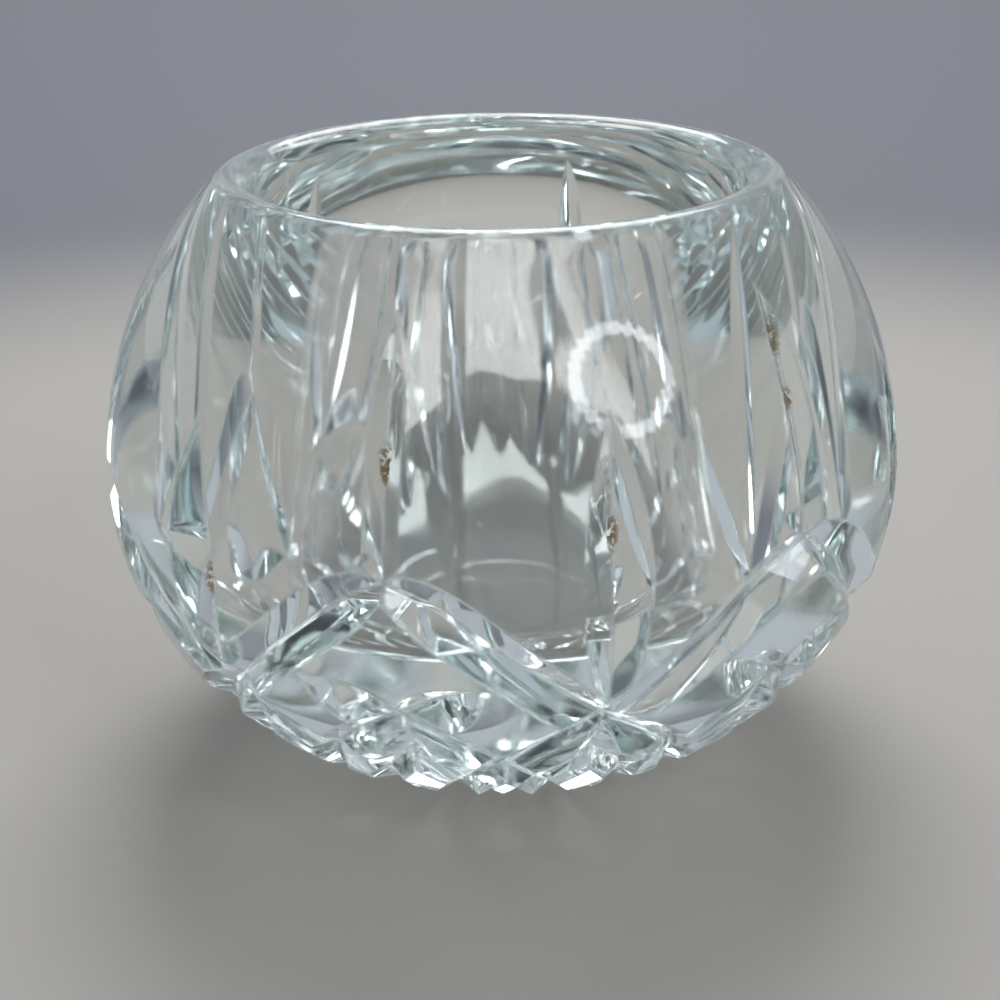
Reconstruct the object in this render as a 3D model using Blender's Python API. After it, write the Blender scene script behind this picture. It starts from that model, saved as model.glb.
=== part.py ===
# Votive holder: one piece of thick clear glass, a round bowl on a flat foot.
# The outside is cut with upright mitre grooves, long spears, and slanting grooves that
# zigzag round the lower half, cross each other and run out under the foot.
# The +Z axis is the axis of the bowl, the foot rests on z = 0, an upright groove faces -Y.

import bpy
import bmesh
from math import asin, atan2, cos, degrees, pi, radians, sin, sqrt, tan

# Bowl
DIAMETER = 0.080            # outside, at the widest point
HEIGHT = 0.058              # foot to top of lip
BELLY_HEIGHT = 0.0282       # height of the widest point
FOOT_DIAMETER = 0.0436      # flat resting face
FOOT_ROUNDING = 0.0005      # softened edge of the resting face
SHOULDER_HALF = 0.0407      # half height of the ellipse that shapes the shoulder
LIP_THICKNESS = 0.0046      # glass at the lip, rounded over

# Hollow
WELL_TAPER = 2.0            # slope of the wall of the hollow, narrower below, in degrees
FLOOR_HEIGHT = 0.0182       # glass under the hollow
FLOOR_CORNER = 0.0050       # rounding between wall and floor

# Places of the grooves
REPEATS = 6                 # upright grooves, and as many spears between them
GROOVE_TIP = 0.0048         # tip of an upright groove, below the top of the lip
SPEAR_TIPS = (0.0130, 0.0130, 0.0130, 0.0130, 0.0130, 0.0158)
PEAK_HEIGHT = 0.0302        # where two slanting grooves start from an upright one
TROUGH_HEIGHT = 0.0141      # where slanting grooves cross under a spear
LEAF_TIP = 0.0194           # height of the tip of a short leaf
LEAF_CROSSING = 0.0145      # where two short leaves cross under an upright groove
SIDE_CROSSING = 0.0080      # where a leaf crosses a slanting groove
FORK_HEIGHT = 0.0094        # where a short upright cut forks
FOOT_CROSSING = 0.0042      # where the forks meet the slanting grooves

# Sizes of the grooves
MITRE_ANGLE = 110.0         # between the two faces of every groove, in degrees
GROOVE_DEPTH = 0.00115
SPEAR_DEPTH = 0.0025
SLANT_DEPTH = 0.0020
LEAF_DEPTH = 0.0021
STEM_DEPTH = 0.0015
FORK_DEPTH = 0.0013
SECOND_PASS = 0.00004       # grooves of the second pass are a hair deeper
SECOND_TURN = 0.04          # and a hair further round, in degrees
ENTRY = 0.0002              # a groove starts this far outside the glass
TAIL = 0.0040               # an upright groove dies out this far below the peak
OVERLAP = 0.0010            # grooves run this far past the crossing they end at
RUN_OUT = 0.0020            # grooves run this far past the foot
OVERCUT = 0.0015            # cutting bodies stand this far out of the glass

# Fineness
ROUND_STEPS = 54            # facets round the bowl
OUTSIDE_STEPS = 16          # bands up the outside
INSIDE_STEPS = 5            # bands round the corner of the hollow
LIP_STEPS = 6               # bands over the lip
LONG_STEPS = 10             # pieces along a slanting groove
LEAF_STEPS = 8              # pieces along a leaf, spear or upright groove
SHORT_STEPS = 3             # pieces along a stem or fork

RADIUS = DIAMETER / 2
SECTOR = 2 * pi / REPEATS


# Outline of the glass

def half_height(full_radius, radius_at, distance):
    """Half height of the ellipse of full_radius that narrows to radius_at over distance."""
    return distance / sqrt(1 - (radius_at / full_radius) ** 2)


FOOT_HALF = half_height(RADIUS, FOOT_DIAMETER / 2, BELLY_HEIGHT)


def lip_at(turn):
    """Middle of a lip that starts at this turn of the shoulder ellipse, and its slope there."""
    slope = atan2(RADIUS * sin(turn), SHOULDER_HALF * cos(turn))
    middle = RADIUS * cos(turn) - LIP_THICKNESS / 2 * cos(slope)
    height = BELLY_HEIGHT + SHOULDER_HALF * sin(turn) - LIP_THICKNESS / 2 * sin(slope)
    return middle, height, slope


def lip_start():
    """Turn of the shoulder ellipse at which the lip starts, so that its top is at HEIGHT."""
    low, high = 0.0, pi / 2
    for _ in range(50):
        turn = (low + high) / 2
        if lip_at(turn)[1] + LIP_THICKNESS / 2 < HEIGHT:
            low = turn
        else:
            high = turn
    return low


def outside(height):
    """Radius of the uncut bowl at a height, and how fast it grows with height."""
    half = SHOULDER_HALF if height > BELLY_HEIGHT else FOOT_HALF
    part = (height - BELLY_HEIGHT) / half
    radius = RADIUS * sqrt(1 - part * part)
    return radius, -RADIUS * RADIUS * part / (half * radius)


def arc(start, end, steps):
    """Evenly spaced values from start to end, both included."""
    return [start + (end - start) * i / steps for i in range(steps + 1)]


def bowl_outline():
    """Radius and height pairs from the middle of the foot round to the middle of the floor."""
    points = [(0.0, 0.0), (FOOT_DIAMETER / 2 - FOOT_ROUNDING, 0.0)]
    low = asin((FOOT_ROUNDING - BELLY_HEIGHT) / FOOT_HALF)
    high = lip_start()
    for turn in arc(low, high, OUTSIDE_STEPS):
        half = SHOULDER_HALF if turn > 0 else FOOT_HALF
        points.append((RADIUS * cos(turn), BELLY_HEIGHT + half * sin(turn)))
    middle, height, slope = lip_at(high)
    taper = radians(WELL_TAPER)
    for turn in arc(slope, pi - taper, LIP_STEPS)[1:]:
        points.append((middle + LIP_THICKNESS / 2 * cos(turn),
                       height + LIP_THICKNESS / 2 * sin(turn)))
    throat, throat_height = points[-1]
    corner_height = FLOOR_HEIGHT + FLOOR_CORNER
    drop = throat_height - corner_height + FLOOR_CORNER * sin(taper)
    corner = throat - drop * tan(taper) - FLOOR_CORNER * cos(taper)
    for turn in arc(-taper, -pi / 2, INSIDE_STEPS):
        points.append((corner + FLOOR_CORNER * cos(turn), corner_height + FLOOR_CORNER * sin(turn)))
    points.append((0.0, FLOOR_HEIGHT))
    return points


def turned(outline, steps):
    """Mesh of an outline turned once round the axis."""
    mesh = bmesh.new()
    turns = [(i + 0.5) * 2 * pi / steps for i in range(steps)]
    rings = []
    for radius, height in outline:
        if radius == 0.0:
            rings.append([mesh.verts.new((0.0, 0.0, height))])
        else:
            rings.append([mesh.verts.new((radius * sin(a), -radius * cos(a), height))
                          for a in turns])
    for one, two in zip(rings, rings[1:]):
        for i in range(steps):
            corners = [one[i % len(one)], one[(i + 1) % len(one)],
                       two[(i + 1) % len(two)], two[i % len(two)]]
            mesh.faces.new(list(dict.fromkeys(corners)))
    bmesh.ops.recalc_face_normals(mesh, faces=mesh.faces)
    return mesh


# Grooves

def skin_point(turn, height):
    """Point of the uncut bowl and its outward direction."""
    radius, growth = outside(height)
    length = sqrt(1 + growth * growth)
    out = (sin(turn) / length, -cos(turn) / length, -growth / length)
    return (radius * sin(turn), -radius * cos(turn), height), out


def along(stops, share):
    """Smooth curve through evenly timed stops, share from 0 to 1."""
    last = len(stops) - 1
    place = min(share * last, last - 1e-9)
    i = int(place)
    u = place - i
    before, one, two = stops[max(i - 1, 0)], stops[i], stops[i + 1]
    after = stops[min(i + 2, last)]
    return [0.5 * (2 * b + (c - a) * u + (2 * a - 5 * b + 4 * c - d) * u * u
                   + (3 * b - a - 3 * c + d) * u ** 3)
            for a, b, c, d in zip(before, one, two, after)]


def between(one, two, share):
    return one + (two - one) * share


def minus(a, b):
    return [p - q for p, q in zip(a, b)]


def cross(a, b):
    return (a[1] * b[2] - a[2] * b[1], a[2] * b[0] - a[0] * b[2], a[0] * b[1] - a[1] * b[0])


def add_groove(mesh, stops, steps, turn, side):
    """Adds the V-shaped body that takes one groove out of the bowl.

    Each stop holds an angle in degrees from the groove's own upright line, a height and
    a depth; side -1 mirrors the groove about that line and cuts it in the second pass.
    """
    spread = tan(radians(MITRE_ANGLE / 2))
    if side < 0:
        turn += radians(SECOND_TURN)
    rows = []
    for i in range(steps + 1):
        share = i / steps
        angle, height, depth = along(stops, share)
        depth += SECOND_PASS if side < 0 else 0.0
        ahead = along(stops, min(1.0, share + 0.01))
        behind = along(stops, max(0.0, share - 0.01))
        point, out = skin_point(turn + side * radians(angle), height)
        far, _ = skin_point(turn + side * radians(ahead[0]), ahead[1])
        near, _ = skin_point(turn + side * radians(behind[0]), behind[1])
        across = cross(out, minus(far, near))
        size = sqrt(sum(c * c for c in across))
        half = (depth + OVERCUT) * spread / size
        row = [[p - o * depth for p, o in zip(point, out)]]
        for way in (half, -half):
            row.append([p + o * OVERCUT + way * c for p, o, c in zip(point, out, across)])
        rows.append([mesh.verts.new(corner) for corner in row])
    for one, two in zip(rows, rows[1:]):
        for j in range(3):
            k = (j + 1) % 3
            mesh.faces.new((one[j], one[k], two[k], two[j]))
    mesh.faces.new(rows[0])
    mesh.faces.new(rows[-1])


def as_object(name, mesh):
    data = bpy.data.meshes.new(name)
    mesh.to_mesh(data)
    mesh.free()
    result = bpy.data.objects.new(name, data)
    bpy.context.scene.collection.objects.link(result)
    return result


def cutter(name, steps, grooves):
    """One object holding every groove of a list of turns, sides and stops."""
    mesh = bmesh.new()
    for turn, side, stops in grooves:
        add_groove(mesh, stops, steps, turn, side)
    bmesh.ops.recalc_face_normals(mesh, faces=mesh.faces)
    result = as_object(name, mesh)
    result.hide_render = True
    result.display_type = 'WIRE'
    return result


for old in list(bpy.data.objects):
    bpy.data.objects.remove(old, do_unlink=True)

half_sector = degrees(SECTOR / 2)
quarter = half_sector / 2
uprights = [SECTOR * i for i in range(REPEATS)]
spears = [turn + SECTOR / 2 for turn in uprights]

# An upright groove runs from a point under the lip and dies just below the peak.
groove_top = HEIGHT - GROOVE_TIP
groove_middle = between(groove_top, PEAK_HEIGHT, 0.5)
upright_stops = [(0, groove_top, -ENTRY),
                 (0, between(groove_top, groove_middle, 0.5), GROOVE_DEPTH * 0.75),
                 (0, groove_middle, GROOVE_DEPTH),
                 (0, between(groove_middle, PEAK_HEIGHT, 0.5), GROOVE_DEPTH),
                 (0, PEAK_HEIGHT, GROOVE_DEPTH * 0.9),
                 (0, PEAK_HEIGHT - TAIL, -ENTRY * 3)]


def spear_stops(tip):
    """A spear is a long leaf pointed at both ends, deepest half way along."""
    top = HEIGHT - tip
    end = TROUGH_HEIGHT - OVERLAP / 2
    return [(0, between(top, end, share), SPEAR_DEPTH * sin(pi * share) - ENTRY / 2)
            for share in arc(0.0, 1.0, 4)]


# A slanting groove starts at a peak, crosses under the spear and runs out under the foot.
slant_stops = [(-0.14 * half_sector, PEAK_HEIGHT + OVERLAP, -ENTRY),
               (0.20 * half_sector, between(PEAK_HEIGHT, TROUGH_HEIGHT, 0.18), SLANT_DEPTH),
               (0.60 * half_sector, between(PEAK_HEIGHT, TROUGH_HEIGHT, 0.59), SLANT_DEPTH),
               (half_sector, TROUGH_HEIGHT, SLANT_DEPTH),
               (half_sector + 0.92 * quarter, between(SIDE_CROSSING, TROUGH_HEIGHT, 0.08),
                SLANT_DEPTH * 0.9),
               (half_sector + 1.45 * quarter, FOOT_CROSSING, SLANT_DEPTH * 0.8),
               (half_sector + 1.95 * quarter, -RUN_OUT, SLANT_DEPTH * 0.7)]

# A short leaf starts as a point in the diamond, crosses its twin and the slanting groove.
leaf_stops = [(-0.94 * quarter, LEAF_TIP, -ENTRY / 2),
              (-0.50 * quarter, between(LEAF_TIP, LEAF_CROSSING, 0.52), LEAF_DEPTH),
              (0, LEAF_CROSSING, LEAF_DEPTH * 0.85),
              (0.55 * quarter, between(LEAF_CROSSING, SIDE_CROSSING, 0.46), LEAF_DEPTH * 0.7),
              (quarter, SIDE_CROSSING, LEAF_DEPTH * 0.7),
              (1.45 * quarter, FOOT_CROSSING, LEAF_DEPTH * 0.65),
              (1.95 * quarter, -RUN_OUT, LEAF_DEPTH * 0.6)]

# A short upright cut joins each crossing to its fork.
stem_stops = [(0, TROUGH_HEIGHT + OVERLAP, -ENTRY),
              (0, between(TROUGH_HEIGHT, FORK_HEIGHT, 0.33), STEM_DEPTH),
              (0, FORK_HEIGHT, STEM_DEPTH),
              (0, FORK_HEIGHT - OVERLAP * 2, -ENTRY * 3)]

# A fork leaves the stem to one side and runs out under the foot.
fork_stops = [(-0.10 * quarter, FORK_HEIGHT + OVERLAP, -ENTRY),
              (0.15 * quarter, FORK_HEIGHT - OVERLAP, FORK_DEPTH),
              (0.58 * quarter, FOOT_CROSSING, FORK_DEPTH),
              (1.0 * quarter, -RUN_OUT, FORK_DEPTH)]

# Colour of the glass
glass = bpy.data.materials.new("clear_glass")
glass.use_nodes = True
shader = glass.node_tree.nodes["Principled BSDF"]
shader.inputs["Base Color"].default_value = (0.93, 0.96, 0.96, 1.0)
shader.inputs["Roughness"].default_value = 0.03
shader.inputs["Metallic"].default_value = 0.0

# Bowl
bowl = as_object("glass_bowl", turned(bowl_outline(), ROUND_STEPS))
bowl.data.materials.append(glass)
bowl.data.shade_smooth()
bowl.data.set_sharp_from_angle(angle=radians(30))

# Cutting bodies
cuts = [cutter("upright_cut", LEAF_STEPS, [(turn, 1, upright_stops) for turn in uprights]),
        cutter("spear_cut", LEAF_STEPS, [(turn, 1, spear_stops(tip))
                                         for turn, tip in zip(spears, SPEAR_TIPS)]),
        cutter("stem_cut", SHORT_STEPS, [(turn, -1, stem_stops) for turn in uprights + spears])]
for side in (1, -1):
    cuts.append(cutter("slant_cut", LONG_STEPS, [(turn, side, slant_stops) for turn in uprights]))
    cuts.append(cutter("leaf_cut", LEAF_STEPS, [(turn, side, leaf_stops) for turn in uprights]))
    cuts.append(cutter("fork_cut", SHORT_STEPS,
                       [(turn, side, fork_stops) for turn in uprights + spears]))

pattern = bpy.data.collections.new("cutting_pattern")
bpy.context.scene.collection.children.link(pattern)
for cut in cuts:
    bpy.context.scene.collection.objects.unlink(cut)
    pattern.objects.link(cut)

taking = bowl.modifiers.new("cutting", 'BOOLEAN')
taking.operation = 'DIFFERENCE'
taking.solver = 'EXACT'
taking.operand_type = 'COLLECTION'
taking.collection = pattern
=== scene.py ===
from math import asin, atan2, cos, hypot, pi, radians, sin, sqrt, tan

import bmesh
import bpy
from mathutils import Matrix, Vector


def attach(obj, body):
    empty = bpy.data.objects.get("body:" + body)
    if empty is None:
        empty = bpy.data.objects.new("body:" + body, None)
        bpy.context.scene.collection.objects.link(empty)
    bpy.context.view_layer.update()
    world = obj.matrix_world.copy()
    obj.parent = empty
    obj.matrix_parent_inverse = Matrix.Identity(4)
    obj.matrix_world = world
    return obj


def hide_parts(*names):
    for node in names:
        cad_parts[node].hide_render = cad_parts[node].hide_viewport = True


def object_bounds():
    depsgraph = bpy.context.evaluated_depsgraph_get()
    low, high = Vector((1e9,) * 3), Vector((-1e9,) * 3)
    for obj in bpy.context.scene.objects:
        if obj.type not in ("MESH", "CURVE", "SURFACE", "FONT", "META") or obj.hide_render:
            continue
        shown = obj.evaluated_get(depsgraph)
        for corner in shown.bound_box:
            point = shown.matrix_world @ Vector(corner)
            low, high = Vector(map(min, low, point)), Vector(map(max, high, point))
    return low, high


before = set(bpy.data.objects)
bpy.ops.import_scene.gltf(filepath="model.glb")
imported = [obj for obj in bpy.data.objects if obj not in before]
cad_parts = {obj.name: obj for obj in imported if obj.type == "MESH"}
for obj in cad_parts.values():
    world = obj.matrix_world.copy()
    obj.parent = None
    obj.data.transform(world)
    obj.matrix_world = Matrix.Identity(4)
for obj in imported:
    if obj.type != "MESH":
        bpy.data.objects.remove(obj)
cad_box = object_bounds()


# The bowl is one thick piece of clear glass, pressed in a mould and fire polished: a round
# body on a flat ground foot, drawn in to a rounded lip, with a plain straight well for the
# candle. Its outline is spun round the axis here; the pattern is cut further down.
BOWL_RADIUS = 0.040          # at the widest point
BOWL_HEIGHT = cad_box[1].z
BELLY_HEIGHT = 0.0282        # where the bowl is widest
FOOT_RADIUS = 0.0218         # flat resting face
FOOT_ROUNDING = 0.0005
SHOULDER_HALF = 0.0407       # half height of the ellipse of the shoulder
LIP_GLASS = 0.0046           # thickness of the lip
WELL_TAPER = radians(2.0)
WELL_FLOOR = 0.0182          # glass under the well
WELL_CORNER = 0.0050         # rounding between its wall and floor
FOOT_HALF = BELLY_HEIGHT / sqrt(1 - (FOOT_RADIUS / BOWL_RADIUS) ** 2)

TURNS = 180                  # facets round the bowl
SKIN_BANDS = 64
LIP_BANDS = 24
CORNER_BANDS = 12
WELL_BANDS = 12


def skin_ring(height):
    """Radius of the uncut bowl at a height, and how fast it grows with height."""
    half = SHOULDER_HALF if height > BELLY_HEIGHT else FOOT_HALF
    part = (height - BELLY_HEIGHT) / half
    radius = BOWL_RADIUS * sqrt(1 - part * part)
    return radius, -BOWL_RADIUS ** 2 * part / (half * radius)


def lip_at(turn):
    """Middle of a lip that leaves the shoulder at this turn of its ellipse, and the slope there."""
    slope = atan2(BOWL_RADIUS * sin(turn), SHOULDER_HALF * cos(turn))
    return (BOWL_RADIUS * cos(turn) - LIP_GLASS / 2 * cos(slope),
            BELLY_HEIGHT + SHOULDER_HALF * sin(turn) - LIP_GLASS / 2 * sin(slope), slope)


def lip_turn():
    """Turn of the shoulder ellipse at which the lip's top comes out at the bowl's height."""
    low, high = 0.0, pi / 2
    for _ in range(50):
        turn = (low + high) / 2
        if lip_at(turn)[1] + LIP_GLASS / 2 < BOWL_HEIGHT:
            low = turn
        else:
            high = turn
    return low


def spaced(start, end, steps):
    return [start + (end - start) * i / steps for i in range(steps + 1)]


def bowl_profile():
    """Radius and height from the middle of the foot, over the lip, to the middle of the well."""
    profile = [(0.0, 0.0), (FOOT_RADIUS - FOOT_ROUNDING, 0.0)]
    for turn in spaced(asin((FOOT_ROUNDING - BELLY_HEIGHT) / FOOT_HALF), lip_turn(), SKIN_BANDS):
        half = SHOULDER_HALF if turn > 0 else FOOT_HALF
        profile.append((BOWL_RADIUS * cos(turn), BELLY_HEIGHT + half * sin(turn)))
    middle, height, slope = lip_at(lip_turn())
    for turn in spaced(slope, pi - WELL_TAPER, LIP_BANDS)[1:]:
        profile.append((middle + LIP_GLASS / 2 * cos(turn), height + LIP_GLASS / 2 * sin(turn)))
    mouth, mouth_height = profile[-1]
    corner_height = WELL_FLOOR + WELL_CORNER
    foot_of_wall = corner_height - WELL_CORNER * sin(WELL_TAPER)
    for share in spaced(0.0, 1.0, WELL_BANDS)[1:-1]:
        down = share * (mouth_height - foot_of_wall)
        profile.append((mouth - down * tan(WELL_TAPER), mouth_height - down))
    corner = mouth - (mouth_height - foot_of_wall) * tan(WELL_TAPER) - WELL_CORNER * cos(WELL_TAPER)
    for turn in spaced(-WELL_TAPER, -pi / 2, CORNER_BANDS):
        profile.append((corner + WELL_CORNER * cos(turn), corner_height + WELL_CORNER * sin(turn)))
    return profile + [(0.0, WELL_FLOOR)]


def as_piece(name, mesh):
    data = bpy.data.meshes.new(name)
    mesh.to_mesh(data)
    mesh.free()
    piece = bpy.data.objects.new(name, data)
    bpy.context.scene.collection.objects.link(piece)
    return piece


blank = bmesh.new()
line = [blank.verts.new((radius, 0.0, height)) for radius, height in bowl_profile()]
edges = [blank.edges.new(pair) for pair in zip(line, line[1:])]
bmesh.ops.spin(blank, geom=line + edges, cent=(0, 0, 0), axis=(0, 0, 1), angle=2 * pi,
               steps=TURNS, use_merge=True)
bmesh.ops.remove_doubles(blank, verts=blank.verts, dist=1e-7)
bmesh.ops.recalc_face_normals(blank, faces=blank.faces)
bowl = as_piece("cut_glass_bowl", blank)


# The pattern on the outside is cut in V-shaped grooves: six upright ones, a deep spear
# between each two, and slanting ones that zigzag round the lower half, cross and run out
# under the foot. Each groove is a three-cornered body drawn out along its own curve.
REPEATS = 6
GROOVE_TIP = BOWL_HEIGHT - 0.0048
SPEAR_TIPS = [BOWL_HEIGHT - 0.0130] * 5 + [BOWL_HEIGHT - 0.0158]
PEAK = 0.0302                # height where two slanting grooves leave an upright one
TROUGH = 0.0141              # height where slanting grooves cross under a spear
LEAF_TIP = 0.0194
LEAF_CROSSING = 0.0145
SIDE_CROSSING = 0.0080
FORK = 0.0094
FOOT_CROSSING = 0.0042
MITRE = radians(110)         # between the two faces of a groove
GROOVE_DEPTH = 0.00115
SPEAR_DEPTH = 0.0025
SLANT_DEPTH = 0.0020
LEAF_DEPTH = 0.0021
STEM_DEPTH = 0.0015
FORK_DEPTH = 0.0013
SECOND_PASS = 0.00004        # the second pass goes a hair deeper
SECOND_TURN = radians(0.04)  # and a hair further round
ENTRY = 0.0002               # a groove starts this far outside the glass
TAIL = 0.0040                # an upright groove dies out this far below the peak
OVERLAP = 0.0010
RUN_OUT = 0.0020
OVERCUT = 0.0015             # cutting bodies stand this far out of the glass
LONG_STEPS = 36
LEAF_STEPS = 28
SHORT_STEPS = 10


def skin_point(turn, height):
    """Point of the uncut bowl and its outward direction."""
    radius, growth = skin_ring(height)
    out = Vector((sin(turn), -cos(turn), -growth)).normalized()
    return Vector((radius * sin(turn), -radius * cos(turn), height)), out


def along(stops, share):
    """Place on the smooth curve through evenly timed stops, share from 0 to 1."""
    last = len(stops) - 1
    place = min(share * last, last - 1e-9)
    i = int(place)
    u = place - i
    nearby = [stops[max(i - 1, 0)], stops[i], stops[i + 1], stops[min(i + 2, last)]]
    return [0.5 * (2 * b + (c - a) * u + (2 * a - 5 * b + 4 * c - d) * u * u
                   + (3 * b - a - 3 * c + d) * u ** 3) for a, b, c, d in zip(*nearby)]


def between(one, two, share):
    return one + (two - one) * share


def groove_section(stops, share, turn, side):
    """The three corners of a cutting body where it stands at this share of its length."""
    angle, height, depth = along(stops, share)
    ahead = along(stops, min(1.0, share + 0.01))
    behind = along(stops, max(0.0, share - 0.01))
    if side < 0:
        turn += SECOND_TURN
        depth += SECOND_PASS
    point, out = skin_point(turn + side * angle, height)
    far, _ = skin_point(turn + side * ahead[0], ahead[1])
    near, _ = skin_point(turn + side * behind[0], behind[1])
    across = out.cross(far - near).normalized() * (depth + OVERCUT) * tan(MITRE / 2)
    return point - out * depth, point + out * OVERCUT + across, point + out * OVERCUT - across


def cutting_body(name, steps, grooves):
    """Every groove of one kind, each drawn out section by section from a three-cornered face.

    Each corner of a new section is the one drawn from the same corner of the section before.
    """
    mesh = bmesh.new()
    for turn, side, stops in grooves:
        before = groove_section(stops, 0.0, turn, side)
        end = mesh.faces.new([mesh.verts.new(corner) for corner in before])
        for i in range(1, steps + 1):
            drawn = bmesh.ops.extrude_face_region(mesh, geom=[end])["geom"]
            if i > 1:
                bmesh.ops.delete(mesh, geom=[end], context='FACES_ONLY')
            end = next(part for part in drawn if isinstance(part, bmesh.types.BMFace))
            after = groove_section(stops, i / steps, turn, side)
            for vert in end.verts:
                corner = min(range(3), key=lambda k: (vert.co - before[k]).length)
                vert.co = after[corner]
            before = after
    bmesh.ops.recalc_face_normals(mesh, faces=mesh.faces)
    return as_piece(name, mesh)


# Each stop of a groove gives its turn from the groove's own upright or spear, its height and
# its depth; a depth below nothing is outside the glass, where the groove starts or dies out.
half_sector = pi / REPEATS
quarter = half_sector / 2
uprights = [2 * half_sector * i for i in range(REPEATS)]
spears = [turn + half_sector for turn in uprights]
groove_middle = between(GROOVE_TIP, PEAK, 0.5)
upright_stops = [(0, GROOVE_TIP, -ENTRY),
                 (0, between(GROOVE_TIP, groove_middle, 0.5), GROOVE_DEPTH * 0.75),
                 (0, groove_middle, GROOVE_DEPTH),
                 (0, between(groove_middle, PEAK, 0.5), GROOVE_DEPTH),
                 (0, PEAK, GROOVE_DEPTH * 0.9),
                 (0, PEAK - TAIL, -ENTRY * 3)]
slant_stops = [(-0.14 * half_sector, PEAK + OVERLAP, -ENTRY),
               (0.20 * half_sector, between(PEAK, TROUGH, 0.18), SLANT_DEPTH),
               (0.60 * half_sector, between(PEAK, TROUGH, 0.59), SLANT_DEPTH),
               (half_sector, TROUGH, SLANT_DEPTH),
               (half_sector + 0.92 * quarter, between(SIDE_CROSSING, TROUGH, 0.08),
                SLANT_DEPTH * 0.9),
               (half_sector + 1.45 * quarter, FOOT_CROSSING, SLANT_DEPTH * 0.8),
               (half_sector + 1.95 * quarter, -RUN_OUT, SLANT_DEPTH * 0.7)]
leaf_stops = [(-0.94 * quarter, LEAF_TIP, -ENTRY / 2),
              (-0.50 * quarter, between(LEAF_TIP, LEAF_CROSSING, 0.52), LEAF_DEPTH),
              (0, LEAF_CROSSING, LEAF_DEPTH * 0.85),
              (0.55 * quarter, between(LEAF_CROSSING, SIDE_CROSSING, 0.46), LEAF_DEPTH * 0.7),
              (quarter, SIDE_CROSSING, LEAF_DEPTH * 0.7),
              (1.45 * quarter, FOOT_CROSSING, LEAF_DEPTH * 0.65),
              (1.95 * quarter, -RUN_OUT, LEAF_DEPTH * 0.6)]
stem_stops = [(0, TROUGH + OVERLAP, -ENTRY),
              (0, between(TROUGH, FORK, 0.33), STEM_DEPTH),
              (0, FORK, STEM_DEPTH),
              (0, FORK - OVERLAP * 2, -ENTRY * 3)]
fork_stops = [(-0.10 * quarter, FORK + OVERLAP, -ENTRY),
              (0.15 * quarter, FORK - OVERLAP, FORK_DEPTH),
              (0.58 * quarter, FOOT_CROSSING, FORK_DEPTH),
              (quarter, -RUN_OUT, FORK_DEPTH)]


def spear_stops(tip):
    """A spear is a long leaf pointed at both ends, deepest half way along."""
    end = TROUGH - OVERLAP / 2
    return [(0, between(tip, end, share), SPEAR_DEPTH * sin(pi * share) - ENTRY / 2)
            for share in spaced(0.0, 1.0, 4)]


cuts = [cutting_body("upright_cuts", LEAF_STEPS, [(t, 1, upright_stops) for t in uprights]),
        cutting_body("spear_cuts", LEAF_STEPS,
                     [(t, 1, spear_stops(tip)) for t, tip in zip(spears, SPEAR_TIPS)]),
        cutting_body("stem_cuts", SHORT_STEPS, [(t, -1, stem_stops) for t in uprights + spears])]
for side in (1, -1):
    cuts += [cutting_body("slant_cuts", LONG_STEPS, [(t, side, slant_stops) for t in uprights]),
             cutting_body("leaf_cuts", LEAF_STEPS, [(t, side, leaf_stops) for t in uprights]),
             cutting_body("fork_cuts", SHORT_STEPS,
                          [(t, side, fork_stops) for t in uprights + spears])]
pattern = bpy.data.collections.new("cutting_pattern")
bpy.context.scene.collection.children.link(pattern)
for cut in cuts:
    bpy.context.scene.collection.objects.unlink(cut)
    pattern.objects.link(cut)
cutting = bowl.modifiers.new("cutting", 'BOOLEAN')
cutting.operation = 'DIFFERENCE'
cutting.solver = 'EXACT'
cutting.operand_type = 'COLLECTION'
cutting.collection = pattern
depsgraph = bpy.context.evaluated_depsgraph_get()
glass_mesh = bpy.data.meshes.new_from_object(bowl.evaluated_get(depsgraph))
bowl.modifiers.clear()
bowl.data = glass_mesh
for cut in cuts:
    bpy.data.objects.remove(cut, do_unlink=True)
bpy.data.collections.remove(pattern)

# The faces left of the uncut skin keep the smooth curve that it had, up to the grooves' edges.
CREASE = radians(16)         # sharper edges stay sharp
SKIN_REACH = 0.00003         # how near the uncut skin a face's corner lies
SKIN_TURN = radians(9.7)     # and how near its direction the face points
glass_mesh.shade_smooth()
glass_mesh.set_sharp_from_angle(angle=CREASE)
smooth = [Vector(corner.vector) for corner in glass_mesh.corner_normals]
skin_top = BELLY_HEIGHT + SHOULDER_HALF * sin(lip_turn())
for face in glass_mesh.polygons:
    for corner in face.loop_indices:
        tip = glass_mesh.vertices[glass_mesh.loops[corner].vertex_index].co
        if not FOOT_ROUNDING < tip.z < skin_top:
            continue
        _, out = skin_point(atan2(tip.x, -tip.y), tip.z)
        off_skin = abs(hypot(tip.x, tip.y) - skin_ring(tip.z)[0])
        if off_skin < SKIN_REACH and out.dot(face.normal) > cos(SKIN_TURN):
            smooth[corner] = out
glass_mesh.normals_split_custom_set(smooth)

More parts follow.
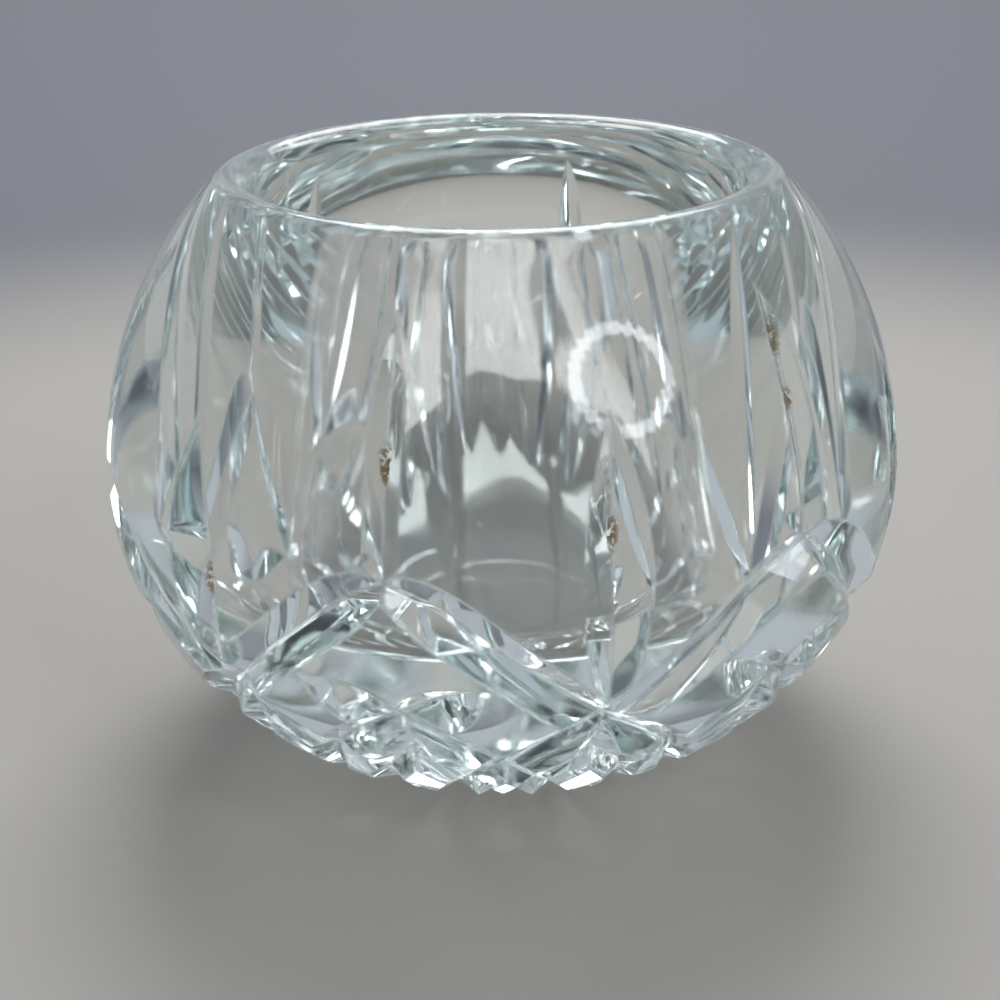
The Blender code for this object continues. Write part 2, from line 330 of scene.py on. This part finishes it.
# The finish is clear glass with a breath of green-blue where it is thick. Pressing leaves soft
# edges, a little dulled, and a slow waviness that runs down the wall of the well; handling
# leaves faint bloom, and brown residue has stayed in streaks in the bottoms of some grooves.
GLASS_TINT = (0.80, 0.93, 0.905, 1)
GLASS_TINT_DENSITY = 8.5
GLASS_IOR = 1.52
EDGE_SOFTNESS = 0.0006       # radius that the edges look rounded to
EDGE_REACH = (0.955, 0.995)  # cosine of the bend: dull below the first, clear above the second
EDGE_ROUGHNESS = 0.22
EDGE_SAMPLES = 4
WAVE_LENGTH = 0.011
WAVE_HEIGHT = 0.0004
WAVE_STRETCH = (1, 1, 0.35)  # the waves are longer downwards
WELL_REACH = (0.0243, 0.0250)  # radii between which the well's waviness ends
OUTSIDE_WAVE = 0.12          # share of the waviness left on the outside
BLOOM_SCALE = 70.0
BLOOM_COVER = (0.56, 0.70)
BLOOM_ROUGHNESS = 0.05
RESIDUE = (0.22, 0.11, 0.03, 1)
RESIDUE_ROUGHNESS = 0.5
RESIDUE_SQUAT = (1, 1, 0.4)  # heights count less, so a spot becomes a streak
RESIDUE_FADE = (0.5, 1.3)    # of a spot's size
CRUMB_SCALE = 2600.0
CRUMB_COVER = (0.42, 0.52)
# Turn, height, depth and size of each spot of residue, all in the bottom of a groove.
RESIDUE_SPOTS = [(0.0, 0.0405, GROOVE_DEPTH, 0.0007), (0.0, 0.0392, GROOVE_DEPTH, 0.0005),
                 (uprights[1], 0.0475, GROOVE_DEPTH * 0.9, 0.0010),
                 (uprights[1], 0.0423, GROOVE_DEPTH, 0.0006),
                 (spears[0], 0.0338, SPEAR_DEPTH * 0.9, 0.0008),
                 (-spears[0], 0.0253, SPEAR_DEPTH, 0.0009)]


class Wire:
    """A value on its way through a finish; sums with it add the nodes that work them out."""

    def __init__(self, finish, socket):
        self.finish = finish
        self.socket = socket

    def worked(self, operation, one, two):
        return self.finish.node('ShaderNodeMath', {"operation": operation}, {0: one, 1: two})

    def __add__(self, other):
        return self.worked('ADD', self, other)

    def __radd__(self, other):
        return self.worked('ADD', other, self)

    def __sub__(self, other):
        return self.worked('SUBTRACT', self, other)

    def __rsub__(self, other):
        return self.worked('SUBTRACT', other, self)

    def __mul__(self, other):
        return self.worked('MULTIPLY', self, other)

    def __rmul__(self, other):
        return self.worked('MULTIPLY', other, self)

    def ramped(self, low, high):
        """0 below low, 1 above high, and a soft rise between them."""
        return self.finish.node('ShaderNodeMapRange', {"interpolation_type": 'SMOOTHSTEP'},
                                {"Value": self, "From Min": low, "From Max": high})


class Finish:
    """The nodes of a material or of the sky, and the one way that nodes are added to them."""

    def __init__(self, owner, shader):
        self.owner = owner
        self.owner.use_nodes = True
        self.tree = owner.node_tree
        self.skin = self.tree.nodes[shader]

    def node(self, kind, settings, sockets, output=0):
        made = self.tree.nodes.new(kind)
        for name, value in settings.items():
            setattr(made, name, value)
        for name, value in sockets.items():
            self.feed(made.inputs[name], value)
        return Wire(self, made.outputs[output])

    def feed(self, entry, value):
        if isinstance(value, Wire):
            self.tree.links.new(value.socket, entry)
        else:
            entry.default_value = value


glass = Finish(bpy.data.materials.new("clear_glass"), "Principled BSDF")
place = glass.node('ShaderNodeTexCoord', {}, {}, "Object")
soft_edge = glass.node('ShaderNodeBevel', {"samples": EDGE_SAMPLES}, {"Radius": EDGE_SOFTNESS})
level = glass.node('ShaderNodeVectorMath', {"operation": 'MULTIPLY'}, {0: place, 1: (1, 1, 0)})
from_axis = glass.node('ShaderNodeVectorMath', {"operation": 'LENGTH'}, {0: level}, "Value")
in_well = 1 - from_axis.ramped(*WELL_REACH)
flowing = glass.node('ShaderNodeMapping', {}, {"Vector": place, "Scale": WAVE_STRETCH})
flow = glass.node('ShaderNodeTexNoise', {}, {"Vector": flowing, "Scale": 1 / WAVE_LENGTH,
                                             "Detail": 0.0})
wave = flow * (OUTSIDE_WAVE + (1 - OUTSIDE_WAVE) * in_well)
wavy = glass.node('ShaderNodeBump', {}, {"Distance": WAVE_HEIGHT, "Height": wave,
                                         "Normal": soft_edge})
cloud = glass.node('ShaderNodeTexNoise', {}, {"Vector": place, "Scale": BLOOM_SCALE,
                                              "Detail": 3.0})
bloom = cloud.ramped(*BLOOM_COVER)
flat_face = glass.node('ShaderNodeNewGeometry', {}, {}, "Normal")
flatness = glass.node('ShaderNodeVectorMath', {"operation": 'DOT_PRODUCT'},
                      {0: soft_edge, 1: flat_face}, "Value")
worn_edge = 1 - flatness.ramped(*EDGE_REACH)
crumbs = glass.node('ShaderNodeTexNoise', {}, {"Vector": place, "Scale": CRUMB_SCALE,
                                               "Detail": 2.0})
squat = glass.node('ShaderNodeVectorMath', {"operation": 'MULTIPLY'},
                   {0: place, 1: RESIDUE_SQUAT})
residue = 0.0
for turn, height, depth, size in RESIDUE_SPOTS:
    point, out = skin_point(turn, height)
    spot = (point - out * depth) * Vector(RESIDUE_SQUAT)
    away = glass.node('ShaderNodeVectorMath', {"operation": 'DISTANCE'},
                      {0: squat, 1: tuple(spot)}, "Value")
    residue = residue + (1 - away.ramped(*[size * share for share in RESIDUE_FADE]))
residue = residue * crumbs.ramped(*CRUMB_COVER)
tone = glass.node('ShaderNodeMix', {"data_type": 'RGBA'},
                  {"Factor": residue, "A": (1, 1, 1, 1), "B": RESIDUE}, 2)
glass.feed(glass.skin.inputs["Base Color"], tone)
glass.feed(glass.skin.inputs["Transmission Weight"], 1.0)
glass.feed(glass.skin.inputs["IOR"], GLASS_IOR)
glass.feed(glass.skin.inputs["Roughness"],
           bloom * BLOOM_ROUGHNESS + residue * RESIDUE_ROUGHNESS + worn_edge * EDGE_ROUGHNESS)
glass.feed(glass.skin.inputs["Normal"], wavy)
thickness = glass.node('ShaderNodeVolumeAbsorption', {}, {"Color": GLASS_TINT,
                                                          "Density": GLASS_TINT_DENSITY})
glass.feed(glass.tree.nodes["Material Output"].inputs["Volume"], thickness)
glass_mesh.materials.clear()
glass_mesh.materials.append(glass.owner)
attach(bowl, "root")
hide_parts("glass_bowl")


# Floor: one plain pale sheet, a hair under the foot, warm near the bowl and cooler further out.
FLOOR_RADIUS = 3.0
FLOOR_GAP = 0.0001
NEAR_FLOOR = (0.48, 0.45, 0.40, 1)
FAR_FLOOR = (0.15, 0.155, 0.182, 1)
FLOOR_FADE = (0.12, 0.24)
FLOOR_ROUGHNESS = 0.6
sheet = bmesh.new()
bmesh.ops.create_circle(sheet, cap_ends=True, segments=96, radius=FLOOR_RADIUS,
                        matrix=Matrix.Translation((0, 0, -FLOOR_GAP)))
floor = as_piece("floor", sheet)
paint = Finish(bpy.data.materials.new("floor_paint"), "Principled BSDF")
spread = paint.node('ShaderNodeVectorMath', {"operation": 'LENGTH'},
                    {0: paint.node('ShaderNodeTexCoord', {}, {}, "Object")}, "Value")
shade = paint.node('ShaderNodeMix', {"data_type": 'RGBA'},
                   {"Factor": spread.ramped(*FLOOR_FADE), "A": NEAR_FLOOR, "B": FAR_FLOOR}, 2)
paint.feed(paint.skin.inputs["Base Color"], shade)
paint.feed(paint.skin.inputs["Roughness"], FLOOR_ROUGHNESS)
floor.data.materials.append(paint.owner)

# Light: a soft lamp above and behind, under a sky that is pale behind the bowl and overhead and
# greyer in front, and a ring lamp by the camera, which is seen again as pale rings in the glass.
PALE_SKY = (0.48, 0.51, 0.56, 1)
GREY_SKY = (0.05, 0.052, 0.062, 1)
PALE_WAY = (-0.2, 0.75, 0.6)
SKY_FADE = (-0.25, 0.45)
bpy.context.scene.world = bpy.data.worlds.new("studio")
sky = Finish(bpy.context.scene.world, "Background")
towards_pale = sky.node('ShaderNodeVectorMath', {"operation": 'DOT_PRODUCT'},
                        {0: sky.node('ShaderNodeTexCoord', {}, {}, "Generated"), 1: PALE_WAY},
                        "Value")
graded = sky.node('ShaderNodeMix', {"data_type": 'RGBA'},
                  {"Factor": towards_pale.ramped(*SKY_FADE), "A": GREY_SKY, "B": PALE_SKY}, 2)
sky.feed(sky.skin.inputs["Color"], graded)


def soft_lamp(place, size, power, colour):
    """A square lamp that faces the middle of the bowl."""
    light = bpy.data.lights.new("lamp", 'AREA')
    light.size = size
    light.energy = power
    light.color = colour
    lamp = bpy.data.objects.new("lamp", light)
    aim = Vector((0, 0, BELLY_HEIGHT)) - Vector(place)
    turned = aim.to_track_quat('-Z', 'Y').to_matrix().to_4x4()
    lamp.matrix_world = Matrix.Translation(place) @ turned
    bpy.context.scene.collection.objects.link(lamp)


LAMP_PLACE = (-0.25, 1.00, 1.10)
LAMP_SIZE = 0.8
LAMP_POWER = 12
LAMP_WHITE = (1, 1, 1)
soft_lamp(LAMP_PLACE, LAMP_SIZE, LAMP_POWER, LAMP_WHITE)

# The ring lamp is a circle of small lamps, so close that their reflections run together.
RING_PLACE = Vector((0.585, -0.42, 0.48))
RING_RADIUS = 0.195
RING_BAND = 0.05
RING_LAMPS = 24
RING_POWER = 1.6
RING_WHITE = (0.9, 0.95, 1)
ring_facing = (Vector((0, 0, BELLY_HEIGHT)) - RING_PLACE).to_track_quat('-Z', 'Y')
for i in range(RING_LAMPS):
    turn = 2 * pi * i / RING_LAMPS
    offset = ring_facing @ Vector((RING_RADIUS * cos(turn), RING_RADIUS * sin(turn), 0))
    soft_lamp(RING_PLACE + offset, RING_BAND, RING_POWER / RING_LAMPS, RING_WHITE)

# Light turns round inside thick glass many times before it comes out.
TURNS_OF_LIGHT = 12
bpy.context.scene.cycles.glossy_bounces = TURNS_OF_LIGHT

# Camera: a little above the bowl, close to it, looking down past one of the upright grooves.
VIEW_TURN = radians(15.521)
VIEW_DISTANCE = 0.2145
VIEW_HEIGHT = 0.1045
VIEW_DOWN = 0.3644
VIEW_ASIDE = 0.0007
VIEW_ROLL = -0.0134
VIEW_LENS = 79.73
VIEW_SHIFT = 0.001           # the photo's frame is this much off its middle
FILM_WIDTH = 36
NEAREST = 0.01
heading = VIEW_TURN + VIEW_ASIDE
ahead = Vector((-sin(heading) * cos(VIEW_DOWN), cos(heading) * cos(VIEW_DOWN), -sin(VIEW_DOWN)))
upward = Vector((-sin(heading) * sin(VIEW_DOWN), cos(heading) * sin(VIEW_DOWN), cos(VIEW_DOWN)))
rightward = ahead.cross(upward)
across = cos(VIEW_ROLL) * rightward + sin(VIEW_ROLL) * upward
plumb = cos(VIEW_ROLL) * upward - sin(VIEW_ROLL) * rightward
pose = Matrix((across, plumb, -ahead)).transposed().to_4x4()
pose.translation = (VIEW_DISTANCE * sin(VIEW_TURN), -VIEW_DISTANCE * cos(VIEW_TURN), VIEW_HEIGHT)
lens = bpy.data.cameras.new("view")
lens.sensor_width = FILM_WIDTH
lens.lens = VIEW_LENS
lens.shift_x = -VIEW_SHIFT
lens.shift_y = VIEW_SHIFT
lens.clip_start = NEAREST
camera = bpy.data.objects.new("view", lens)
camera.matrix_world = pose
bpy.context.scene.collection.objects.link(camera)
bpy.context.scene.camera = camera
bpy.context.scene.view_settings.view_transform = 'Standard'
